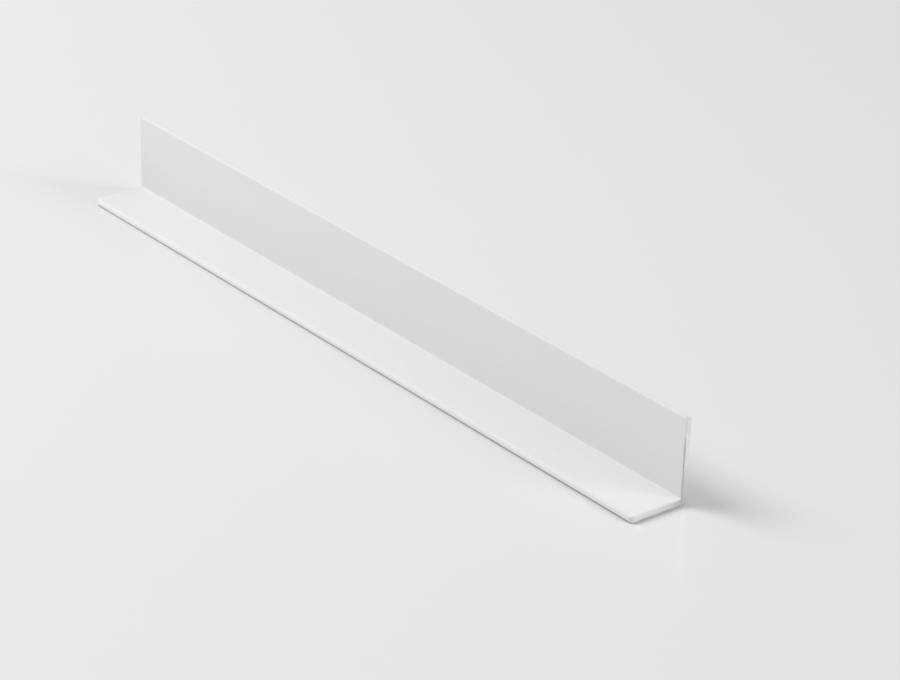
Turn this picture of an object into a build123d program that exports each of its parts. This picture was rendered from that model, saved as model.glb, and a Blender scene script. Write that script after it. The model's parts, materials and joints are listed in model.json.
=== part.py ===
"""An unequal-leg aluminium angle trim: an extruded L section, sawn to length, deburred and coated."""

import os

from build123d import *

# Driving dimensions, in millimetres
LENGTH = 200.0
UPRIGHT_LEG = 20.0
FLAT_LEG = 15.0
WALL = 1.5
NOSE_RADIUS = 0.95
NOSE_UNDER_RADIUS = 0.45
TIP_RADIUS = 0.5
TIP_FLAT_LEAST = 0.1
ROOT_RADIUS = 0.2
HEEL_RADIUS = 0.4
FLAT_CORNER_RADIUS = 1.5
UPRIGHT_CORNER_RADIUS = 1.0
DEBURR = 0.15

# The two rounds of a leg's tip never meet, however thin the wall
round_room = WALL - TIP_FLAT_LEAST
tip_round = min(TIP_RADIUS, round_room / 2)
nose_share = min(1.0, round_room / (NOSE_RADIUS + NOSE_UNDER_RADIUS))

# The section is centred on the width and stands on its flat leg, with the upright leg along the back
front = -FLAT_LEG / 2
back = FLAT_LEG / 2
upright_inside = back - WALL

with BuildPart() as angle_profile:
    # L section with a rolled nose on the flat leg, soft edges on the upright leg, a soft outer heel and a
    # small fillet in the inside corner
    with BuildSketch(Plane.YZ):
        with BuildLine():
            Polyline(
                (front, 0),
                (back, 0),
                (back, UPRIGHT_LEG),
                (upright_inside, UPRIGHT_LEG),
                (upright_inside, WALL),
                (front, WALL),
                close=True,
            )
        make_face()
        fillet(vertices().sort_by_distance((front, WALL))[0], NOSE_RADIUS * nose_share)
        fillet(vertices().sort_by_distance((front, 0))[0], NOSE_UNDER_RADIUS * nose_share)
        fillet(vertices().group_by(Axis.Y)[-1], tip_round)
        fillet(vertices().sort_by_distance((back, 0))[0], HEEL_RADIUS)
        fillet(vertices().sort_by_distance((upright_inside, WALL))[0], ROOT_RADIUS)
    extrude(amount=LENGTH / 2, both=True)

    # Sawn ends, with the burr taken off all round the section
    sawn_ends = faces().filter_by(Axis.X).sort_by(Axis.X)
    chamfer(sawn_ends[0].edges() + sawn_ends[-1].edges(), DEBURR)

    # Free corners of the flat leg, rounded in plan
    with BuildSketch(Plane.XY):
        Rectangle(LENGTH, FLAT_LEG)
        fillet(vertices().group_by(Axis.Y)[0], FLAT_CORNER_RADIUS)
    extrude(amount=UPRIGHT_LEG, mode=Mode.INTERSECT)

    # Free corners of the upright leg, rounded in side view
    with BuildSketch(Plane.XZ):
        with Locations((0, UPRIGHT_LEG / 2)):
            Rectangle(LENGTH, UPRIGHT_LEG)
        fillet(vertices().group_by(Axis.Y)[-1], UPRIGHT_CORNER_RADIUS)
    extrude(amount=FLAT_LEG / 2, both=True, mode=Mode.INTERSECT)

angle_profile.part.label = "angle_profile"

os.makedirs("parts", exist_ok=True)
export_step(angle_profile.part, "parts/angle_profile.step")
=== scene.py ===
"""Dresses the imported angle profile: white powder coat, bare sawn ends, a pale floor and soft studio light."""

import json
import math

import bmesh
import bpy
from mathutils import Matrix, Vector


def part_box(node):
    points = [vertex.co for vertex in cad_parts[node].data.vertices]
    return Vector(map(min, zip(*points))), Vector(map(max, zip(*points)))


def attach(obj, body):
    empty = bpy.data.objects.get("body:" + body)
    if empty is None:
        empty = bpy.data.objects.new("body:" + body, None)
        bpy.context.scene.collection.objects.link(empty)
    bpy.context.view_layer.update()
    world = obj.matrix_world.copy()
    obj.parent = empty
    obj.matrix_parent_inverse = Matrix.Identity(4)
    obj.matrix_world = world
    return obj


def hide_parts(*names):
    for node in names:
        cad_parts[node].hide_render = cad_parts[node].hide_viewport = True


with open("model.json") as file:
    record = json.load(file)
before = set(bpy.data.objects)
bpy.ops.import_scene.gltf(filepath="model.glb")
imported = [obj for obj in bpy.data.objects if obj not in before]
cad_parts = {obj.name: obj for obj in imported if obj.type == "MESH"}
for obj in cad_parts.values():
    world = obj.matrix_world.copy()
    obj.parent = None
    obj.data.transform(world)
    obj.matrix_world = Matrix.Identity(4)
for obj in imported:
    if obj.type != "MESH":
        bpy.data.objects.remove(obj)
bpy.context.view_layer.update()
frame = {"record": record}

MM = 0.001

# Shape of the profile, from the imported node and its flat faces
low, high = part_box("angle_profile")
mounts = {mount["name"]: mount["pos_m"] for mount in frame["record"]["mounts"]}
wall = mounts["flat_inside"][2] - low.z
inside_y = mounts["upright_inside"][1]

# Rounds of the section and of the cut ends
NOSE_RADIUS = 0.95 * MM
NOSE_UNDER_RADIUS = 0.45 * MM
TIP_RADIUS = 0.5 * MM
ROOT_RADIUS = 0.2 * MM
HEEL_RADIUS = 0.4 * MM
FLAT_CORNER_RADIUS = 1.5 * MM
UPRIGHT_CORNER_RADIUS = 1.0 * MM
DEBURR = 0.15 * MM
ROUND_SEGMENTS = 8
ROUND_PROFILE = 0.5
CORNER_FLATS = 9
SMOOTH_ANGLE = math.radians(30)
FLAT_ANGLE = math.radians(1)
NEAR = 0.01 * MM
WELD = 0.0001 * MM

# How far along an axis a face's normal reaches where the face looks that way, and where it is a sawn end
FACING = 0.5
SQUARE_TO_END = 0.985

# White coat, with painted shade that turns it darker and bluer in the inside corner and darker over the upright
# leg's tip
COAT_WHITE = (0.823, 0.833, 0.831, 1)
COAT_SHADED_IN_CORNER = (0.778, 0.793, 0.803, 1)
CORNER_SHADE_REACH = 11 * MM
COAT_SHADED_ON_TIP = (0.792, 0.802, 0.800, 1)
TIP_SHADE_REACH = (0.3 * MM, 0.6 * MM)
COAT_ROUGHNESS = (0.62, 0.76)
SATIN_PATCH = 6 * MM
PEEL_SIZE = 1.1 * MM
PEEL_DEPTH = 0.008 * MM
DIE_LINE_WIDTH = 0.35 * MM
DIE_LINE_LENGTH = 90 * MM
DIE_LINE_DEPTH = 0.005 * MM

# Bare metal on the cut ends, with saw marks, and painted shade that darkens it near the top of the upright leg
# and near the heel
METAL = (0.89, 0.89, 0.88, 1)
METAL_IN_GROOVE = (0.80, 0.80, 0.79, 1)
METAL_SHADED_AT_TOP = (0.79, 0.79, 0.785, 1)
TOP_SHADE_FROM = (15.0 * MM, 17.0 * MM)
METAL_SHADED_AT_HEEL = (0.67, 0.67, 0.66, 1)
HEEL_SHADE_REACH = (1.0 * MM, 9.0 * MM)
METAL_ROUGHNESS = (0.36, 0.44)
RUBBED_PATCH = 1.5 * MM
SAW_LINE_WIDTH = 0.2 * MM
SAW_LINE_LENGTH = 9 * MM
SAW_LINE_DEPTH = 0.001 * MM
SAW_LINE_TILT = math.radians(24)

# Ragged strip up the upright leg's inside edge at the +X end, torn where the blade came out
TORN = (0.61, 0.61, 0.60, 1)
TORN_REACH = (0.18 * MM, 0.6 * MM)
TORN_CORE = 0.2
TORN_ROUGHNESS = 0.2
TORN_SIZE = 2.4 * MM
TORN_TOP = (14.5 * MM, 16.5 * MM)

# Pale floor with a faint gloss, a hair below the profile and hardly tilted
FLOOR_COLOUR = (0.82, 0.82, 0.82, 1)
FLOOR_ROUGHNESS = (0.248, 0.262)
FLOOR_PATCH = 60 * MM
FLOOR_SPECULAR = 0.25
FLOOR_SIZE = 6.0
FLOOR_DROP = 0.23 * MM
FLOOR_TILT = math.radians(0.034)

# How fine the noise behind the patches and the lines is, and the part of its range that they use
CLOUD_DETAIL = 3.0
LINE_DETAIL = 2.0
NOISE_SPREAD = (0.3, 0.7)

# A Mix node's number, vector and colour sockets share names, so the colour ones are found by place
MIX_FACTOR = 0
MIX_FIRST_COLOUR = 6
MIX_SECOND_COLOUR = 7
MIX_RESULT_COLOUR = 2

# Camera, found by fitting the profile's edges and corners to the photograph
PHOTO_WIDTH = 900
FOCAL_PIXELS = 3198.6
SENSOR_WIDTH = 36.0
CAMERA_AZIMUTH = math.radians(51.04)
CAMERA_ELEVATION = math.radians(25.49)
CAMERA_ROLL = math.radians(1.68)
CAMERA_DISTANCE = 719.9 * MM
CAMERA_SIDESTEP = 19.41 * MM
CAMERA_RISE = 0.04 * MM

# Even light from all round, besides the lamps
WORLD_COLOUR = (1, 1, 1, 1)
WORLD_LIGHT = 0.4555


def select_where(piece, kind, test):
    """Selects the edges or faces of the piece in edit mode that pass the test, and nothing else."""
    bpy.ops.mesh.select_mode(type="EDGE" if kind == "edges" else "FACE")
    bpy.ops.mesh.select_all(action="DESELECT")
    shape = bmesh.from_edit_mesh(piece.data)
    for element in getattr(shape, kind):
        if test(element):
            element.select_set(True)
    shape.select_flush_mode()
    bmesh.update_edit_mesh(piece.data)


def runs_along_length_at(places):
    """A test for long edges that lie at one of these places, each given across the length and up."""

    def test(edge):
        first, second = (vert.co for vert in edge.verts)
        if abs(first.x - second.x) < (high.x - low.x) / 2:
            return False
        return any(abs(first.y - y) < NEAR and abs(first.z - z) < NEAR for y, z in places)

    return test


def roll_edges(piece, places, radius):
    select_where(piece, "edges", runs_along_length_at(places))
    bpy.ops.mesh.bevel(offset=radius, segments=ROUND_SEGMENTS, profile=ROUND_PROFILE, affect="EDGES")


def file_corner(end, across, corner, radius):
    """Takes a free end corner down to an arc, one flat after another, as a file does."""
    pivot = corner - (end + across) * radius
    for flat in range(1, CORNER_FLATS + 1):
        turn = math.radians(90) * flat / (CORNER_FLATS + 1)
        outwards = end * math.cos(turn) + across * math.sin(turn)
        bpy.ops.mesh.select_all(action="SELECT")
        bpy.ops.mesh.bisect(
            plane_co=pivot + outwards * radius,
            plane_no=outwards,
            use_fill=True,
            clear_outer=True,
            threshold=WELD,
        )


def model_angle():
    """A block for the flat leg, its back strip drawn up into the upright leg, then rolled, sawn and worked with
    a file.
    """
    bpy.ops.object.select_all(action="DESELECT")
    centre = (low + high) / 2
    bpy.ops.mesh.primitive_cube_add(
        size=1,
        location=(centre.x, centre.y, low.z + wall / 2),
        scale=(high.x - low.x - 2 * DEBURR, high.y - low.y, wall),
    )
    angle = bpy.context.object
    angle.name = "coated_angle"
    bpy.ops.object.transform_apply(location=True, rotation=True, scale=True)

    bpy.ops.object.mode_set(mode="EDIT")
    bpy.ops.mesh.select_all(action="SELECT")
    bpy.ops.mesh.bisect(plane_co=(0, inside_y, 0), plane_no=(0, 1, 0))
    select_where(
        angle,
        "faces",
        lambda face: face.normal.z > FACING and face.calc_center_median().y > inside_y,
    )
    rise = Vector((0, 0, high.z - low.z - wall))
    bpy.ops.mesh.extrude_region_move(TRANSFORM_OT_translate={"value": rise})
    bpy.ops.mesh.select_all(action="SELECT")
    bpy.ops.mesh.dissolve_limited(angle_limit=FLAT_ANGLE)

    roll_edges(angle, [(low.y, low.z + wall)], NOSE_RADIUS)
    roll_edges(angle, [(low.y, low.z)], NOSE_UNDER_RADIUS)
    roll_edges(angle, [(high.y, high.z), (inside_y, high.z)], TIP_RADIUS)
    roll_edges(angle, [(high.y, low.z)], HEEL_RADIUS)
    roll_edges(angle, [(inside_y, low.z + wall)], ROOT_RADIUS)

    select_where(angle, "faces", lambda face: abs(face.normal.x) > FACING)
    bpy.ops.mesh.inset(thickness=DEBURR, depth=DEBURR, use_individual=True)
    for end_x, side in ((low.x, -1), (high.x, 1)):
        end = Vector((side, 0, 0))
        file_corner(end, Vector((0, -1, 0)), Vector((end_x, low.y, 0)), FLAT_CORNER_RADIUS)
        file_corner(end, Vector((0, 0, 1)), Vector((end_x, 0, high.z)), UPRIGHT_CORNER_RADIUS)
    bpy.ops.mesh.select_all(action="SELECT")
    bpy.ops.mesh.remove_doubles(threshold=WELD)
    bpy.ops.mesh.normals_make_consistent(inside=False)
    bpy.ops.object.mode_set(mode="OBJECT")

    bpy.ops.object.shade_smooth_by_angle(angle=SMOOTH_ANGLE)
    flats = angle.modifiers.new("flat_faces_stay_flat", "WEIGHTED_NORMAL")
    flats.keep_sharp = True
    bpy.ops.object.modifier_apply(modifier=flats.name)
    return angle


def new_group(name, inputs, outputs):
    """An empty shader node group with number sockets, or vector ones where the default is a triple."""
    tree = bpy.data.node_groups.new(name, "ShaderNodeTree")
    for label, default in inputs.items():
        kind = "NodeSocketVector" if isinstance(default, tuple) else "NodeSocketFloat"
        socket = tree.interface.new_socket(name=label, in_out="INPUT", socket_type=kind)
        socket.default_value = default
    for label in outputs:
        tree.interface.new_socket(name=label, in_out="OUTPUT", socket_type="NodeSocketFloat")
    entry = tree.nodes.new("NodeGroupInput").outputs
    leave = tree.nodes.new("NodeGroupOutput").inputs
    return tree, entry, leave


def object_place(tree):
    return tree.nodes.new("ShaderNodeTexCoord").outputs["Object"]


def object_axes(tree):
    """Where a point lies along X, Y and Z, each as a number."""
    split = tree.nodes.new("ShaderNodeSeparateXYZ")
    tree.links.new(object_place(tree), split.inputs["Vector"])
    return split.outputs


def feed(tree, socket, value):
    """Links a socket to another one, or sets it where the value is a plain number or colour."""
    if isinstance(value, bpy.types.NodeSocket):
        tree.links.new(value, socket)
    else:
        socket.default_value = value


def maths(tree, operation, *values):
    node = tree.nodes.new("ShaderNodeMath")
    node.operation = operation
    for socket, value in zip(node.inputs, values):
        feed(tree, socket, value)
    return node.outputs["Value"]


def span(tree, value, from_low, from_high, to_low=0.0, to_high=1.0, smooth=False):
    """Maps a value from one span to another, with its ends held."""
    node = tree.nodes.new("ShaderNodeMapRange")
    node.interpolation_type = "SMOOTHSTEP" if smooth else "LINEAR"
    ends = {"From Min": from_low, "From Max": from_high, "To Min": to_low, "To Max": to_high}
    for label, end in ends.items():
        feed(tree, node.inputs[label], end)
    feed(tree, node.inputs["Value"], value)
    return node.outputs["Result"]


def blend_colours(tree, factor, first, second):
    node = tree.nodes.new("ShaderNodeMix")
    node.data_type = "RGBA"
    feed(tree, node.inputs[MIX_FACTOR], factor)
    feed(tree, node.inputs[MIX_FIRST_COLOUR], first)
    feed(tree, node.inputs[MIX_SECOND_COLOUR], second)
    return node.outputs[MIX_RESULT_COLOUR]


def distance_in_plane(tree, first, first_centre, second, second_centre):
    """How far a point lies from a line that runs along the third axis."""
    sides = (maths(tree, "SUBTRACT", first, first_centre), maths(tree, "SUBTRACT", second, second_centre))
    squares = [maths(tree, "MULTIPLY", side, side) for side in sides]
    return maths(tree, "SQRT", maths(tree, "ADD", *squares))


def use_group(tree, group, **values):
    """Places a group in a material, or in another group, and gives its one output."""
    node = tree.nodes.new("ShaderNodeGroup")
    node.node_tree = group
    for label, value in values.items():
        feed(tree, node.inputs[label], value)
    return node.outputs[0]


def cloudy_group():
    """Soft uneven patches of a given size, as a value between two levels."""
    tree, entry, leave = new_group("cloudy", {"Size": 10 * MM, "Low": 0.0, "High": 1.0}, ["Value"])
    noise = tree.nodes.new("ShaderNodeTexNoise")
    noise.inputs["Detail"].default_value = CLOUD_DETAIL
    tree.links.new(object_place(tree), noise.inputs["Vector"])
    feed(tree, noise.inputs["Scale"], maths(tree, "DIVIDE", 1.0, entry["Size"]))
    level = span(tree, noise.outputs["Fac"], *NOISE_SPREAD, entry["Low"], entry["High"], smooth=True)
    feed(tree, leave["Value"], level)
    return tree


def scored_group():
    """Fine parallel lines, long one way and narrow the other two, as a height between 0 and 1."""
    inputs = {"Turn": (0.0, 0.0, 0.0), "Size": (100 * MM, MM, MM)}
    tree, entry, leave = new_group("scored", inputs, ["Height"])
    turned = tree.nodes.new("ShaderNodeMapping")
    turned.vector_type = "POINT"
    tree.links.new(object_place(tree), turned.inputs["Vector"])
    feed(tree, turned.inputs["Rotation"], entry["Turn"])
    shrunk = tree.nodes.new("ShaderNodeVectorMath")
    shrunk.operation = "DIVIDE"
    tree.links.new(turned.outputs["Vector"], shrunk.inputs[0])
    feed(tree, shrunk.inputs[1], entry["Size"])
    noise = tree.nodes.new("ShaderNodeTexNoise")
    noise.inputs["Scale"].default_value = 1.0
    noise.inputs["Detail"].default_value = LINE_DETAIL
    tree.links.new(shrunk.outputs["Vector"], noise.inputs["Vector"])
    feed(tree, leave["Height"], span(tree, noise.outputs["Fac"], *NOISE_SPREAD))
    return tree


def torn_group(cloudy):
    """1 in a ragged strip up the upright leg's inside edge at the +X end, short of its corner, else 0."""
    tree, entry, leave = new_group("torn", {"Low": 0.0, "High": MM}, ["Mask"])
    axes = object_axes(tree)
    from_edge = distance_in_plane(tree, axes["X"], high.x, axes["Y"], inside_y)
    ragged = use_group(tree, cloudy, Size=TORN_SIZE, Low=entry["Low"], High=entry["High"])
    below_corner = span(tree, axes["Z"], *TORN_TOP, 1.0, 0.0)
    above_root = span(tree, axes["Z"], low.z + wall / 2, low.z + wall)
    reach = maths(tree, "MULTIPLY", ragged, maths(tree, "MULTIPLY", below_corner, above_root))
    core = maths(tree, "MULTIPLY", reach, TORN_CORE)
    feed(tree, leave["Mask"], span(tree, from_edge, core, reach, 1.0, 0.0, smooth=True))
    return tree


def raise_surface(tree, height, depth, below=None):
    """A bump of a real depth, laid over another one where it is given."""
    node = tree.nodes.new("ShaderNodeBump")
    node.inputs["Distance"].default_value = depth
    tree.links.new(height, node.inputs["Height"])
    if below is not None:
        tree.links.new(below, node.inputs["Normal"])
    return node.outputs["Normal"]


def principled(name):
    material = bpy.data.materials.new(name)
    material.use_nodes = True
    tree = material.node_tree
    return material, tree, tree.nodes["Principled BSDF"]


def white_coat(cloudy, scored, torn):
    material, tree, shader = principled("white_coat")
    axes = object_axes(tree)
    # Painted shade: the coat turns darker and bluer towards the inside corner, where shade falls
    from_root = distance_in_plane(tree, axes["Y"], inside_y, axes["Z"], low.z + wall)
    past_corner_shade = span(tree, from_root, 0.0, CORNER_SHADE_REACH, smooth=True)
    corner_shaded = blend_colours(tree, past_corner_shade, COAT_SHADED_IN_CORNER, COAT_WHITE)
    # Painted shade: the coat turns darker along the upright leg's tip
    tip_shade = span(tree, axes["Z"], high.z - TIP_SHADE_REACH[1], high.z - TIP_SHADE_REACH[0], smooth=True)
    coat = blend_colours(tree, tip_shade, corner_shaded, COAT_SHADED_ON_TIP)
    bare = use_group(tree, torn, Low=TORN_REACH[0], High=TORN_REACH[1])
    feed(tree, shader.inputs["Base Color"], blend_colours(tree, bare, coat, TORN))
    satin = use_group(tree, cloudy, Size=SATIN_PATCH, Low=COAT_ROUGHNESS[0], High=COAT_ROUGHNESS[1])
    feed(tree, shader.inputs["Roughness"], satin)
    die_lines = use_group(tree, scored, Size=(DIE_LINE_LENGTH, DIE_LINE_WIDTH, DIE_LINE_WIDTH))
    drawn = raise_surface(tree, die_lines, DIE_LINE_DEPTH)
    peel = use_group(tree, cloudy, Size=PEEL_SIZE, Low=0.0, High=1.0)
    feed(tree, shader.inputs["Normal"], raise_surface(tree, peel, PEEL_DEPTH, drawn))
    return material


def sawn_aluminium(cloudy, scored, torn):
    material, tree, shader = principled("sawn_aluminium")
    axes = object_axes(tree)
    saw_lines = use_group(
        tree,
        scored,
        Turn=(SAW_LINE_TILT, 0.0, 0.0),
        Size=(SAW_LINE_WIDTH, SAW_LINE_LENGTH, SAW_LINE_WIDTH),
    )
    sawn = blend_colours(tree, saw_lines, METAL_IN_GROOVE, METAL)
    # Painted shade: the bare metal turns darker towards the top of the upright leg's end
    top_shade = span(tree, axes["Z"], *TOP_SHADE_FROM, smooth=True)
    # Painted shade: the bare metal turns darker near the heel, where the floor's shadow falls
    from_heel = distance_in_plane(tree, axes["Y"], high.y, axes["Z"], low.z)
    past_heel_shade = span(tree, from_heel, *HEEL_SHADE_REACH)
    metal = blend_colours(tree, past_heel_shade, METAL_SHADED_AT_HEEL, blend_colours(tree, top_shade, sawn, METAL_SHADED_AT_TOP))
    ragged = use_group(tree, torn, Low=TORN_REACH[0], High=TORN_REACH[1])
    feed(tree, shader.inputs["Base Color"], blend_colours(tree, ragged, metal, TORN))
    shader.inputs["Metallic"].default_value = 1.0
    rubbed = use_group(tree, cloudy, Size=RUBBED_PATCH, Low=METAL_ROUGHNESS[0], High=METAL_ROUGHNESS[1])
    feed(tree, shader.inputs["Roughness"], maths(tree, "MULTIPLY_ADD", ragged, TORN_ROUGHNESS, rubbed))
    feed(tree, shader.inputs["Normal"], raise_surface(tree, saw_lines, SAW_LINE_DEPTH))
    return material


def pale_floor(cloudy):
    material, tree, shader = principled("pale_floor")
    shader.inputs["Base Color"].default_value = FLOOR_COLOUR
    shader.inputs["Specular IOR Level"].default_value = FLOOR_SPECULAR
    gloss = use_group(tree, cloudy, Size=FLOOR_PATCH, Low=FLOOR_ROUGHNESS[0], High=FLOOR_ROUGHNESS[1])
    feed(tree, shader.inputs["Roughness"], gloss)
    return material


def dress(angle, cloudy, scored, torn):
    """White coat all over, as the first material, and bare metal on the two sawn ends, as the second."""
    angle.data.materials.append(white_coat(cloudy, scored, torn))
    angle.data.materials.append(sawn_aluminium(cloudy, scored, torn))
    for face in angle.data.polygons:
        sawn = abs(face.normal.x) > SQUARE_TO_END
        face.material_index = 1 if sawn else 0


def lay_floor(cloudy):
    bpy.ops.object.select_all(action="DESELECT")
    bpy.ops.mesh.primitive_plane_add(
        size=FLOOR_SIZE,
        location=(0, 0, low.z - FLOOR_DROP),
        rotation=(0, FLOOR_TILT, 0),
    )
    floor = bpy.context.object
    floor.name = "floor"
    bpy.ops.object.transform_apply(location=True, rotation=True, scale=True)
    floor.data.materials.append(pale_floor(cloudy))


def direction(azimuth, elevation):
    """Points from the profile to a place around it, from azimuth 0 in front to 90 degrees at the +X end."""
    across = math.cos(elevation)
    return Vector((math.sin(azimuth) * across, -math.cos(azimuth) * across, math.sin(elevation)))


def hang_light(name, azimuth, elevation, distance, size, power):
    """A round soft box that faces the profile, with its angles in degrees."""
    towards = direction(math.radians(azimuth), math.radians(elevation))
    lamp = bpy.data.lights.new(name, "AREA")
    lamp.shape = "DISK"
    lamp.size = size
    lamp.energy = power
    light = bpy.data.objects.new(name, lamp)
    light.location = towards * distance
    light.rotation_euler = towards.to_track_quat("Z", "Y").to_euler()
    bpy.context.scene.collection.objects.link(light)


def light_studio():
    world = bpy.data.worlds.new("studio")
    world.use_nodes = True
    background = world.node_tree.nodes["Background"]
    background.inputs["Color"].default_value = WORLD_COLOUR
    background.inputs["Strength"].default_value = WORLD_LIGHT
    bpy.context.scene.world = world
    hang_light("key", azimuth=-60, elevation=40, distance=1.2, size=0.6, power=5.35)
    hang_light("overhead", azimuth=-40, elevation=55, distance=1.2, size=0.6, power=3.63)
    hang_light("rim", azimuth=124, elevation=28, distance=3.0, size=1.0, power=19.8)
    hang_light("side", azimuth=100, elevation=28, distance=3.0, size=1.0, power=7.6)


def place_camera():
    back = direction(CAMERA_AZIMUTH, CAMERA_ELEVATION)
    level = Vector((math.cos(CAMERA_AZIMUTH), math.sin(CAMERA_AZIMUTH), 0))
    upright = back.cross(level)
    right = level * math.cos(CAMERA_ROLL) + upright * math.sin(CAMERA_ROLL)
    up = back.cross(right)
    lens = bpy.data.cameras.new("camera")
    lens.sensor_width = SENSOR_WIDTH
    lens.lens = SENSOR_WIDTH * FOCAL_PIXELS / PHOTO_WIDTH
    camera = bpy.data.objects.new("camera", lens)
    place = back * CAMERA_DISTANCE + right * CAMERA_SIDESTEP + up * CAMERA_RISE
    camera.matrix_world = Matrix.Translation(place) @ Matrix((right, up, back)).transposed().to_4x4()
    bpy.context.scene.collection.objects.link(camera)
    bpy.context.scene.camera = camera


cloudy = cloudy_group()
scored = scored_group()
torn = torn_group(cloudy)

angle = model_angle()
dress(angle, cloudy, scored, torn)
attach(angle, "root")
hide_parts("angle_profile")

lay_floor(cloudy)
light_studio()
place_camera()
bpy.context.scene.view_settings.view_transform = "Standard"
